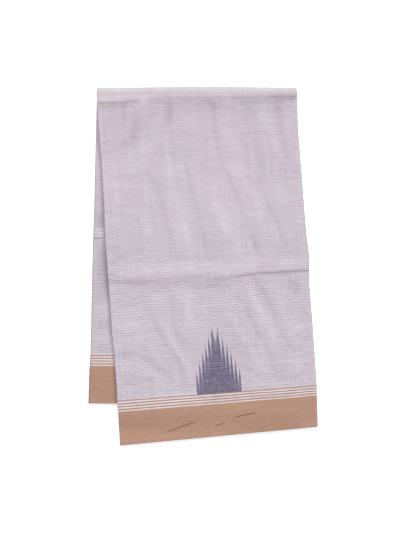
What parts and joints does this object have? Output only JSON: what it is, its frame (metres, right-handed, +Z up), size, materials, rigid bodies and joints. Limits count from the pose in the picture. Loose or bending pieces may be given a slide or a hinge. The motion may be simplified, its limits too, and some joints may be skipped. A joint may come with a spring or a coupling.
{
  "type": "folded saree",
  "caption": "Handwoven cotton saree folded for storage and laid flat: a front flap over a shorter rear flap, with striped brown borders and a stepped temple motif.",
  "frame": {"origin": "centre of the bounding box, at the height of the surface that the saree lies on", "axes": "+Y from the hems to the fold at the top, +X to the right as seen from above, +Z up out of the cloth"},
  "size_m": [0.3942, 0.616, 0.0176],
  "materials": {
    "lilac_cotton": "matt handwoven cotton",
    "brown_cotton": "matt handwoven cotton"
  },
  "bodies": {
    "root": {"front_border": "brown_cotton", "front_field": "lilac_cotton", "top_fold": "lilac_cotton", "underside_field": "lilac_cotton", "underside_border": "brown_cotton", "front_inner_border": "brown_cotton", "front_inner_field": "lilac_cotton", "rear_field": "lilac_cotton", "rear_border": "brown_cotton", "folded_layers": "lilac_cotton"}
  },
  "joints": []
}
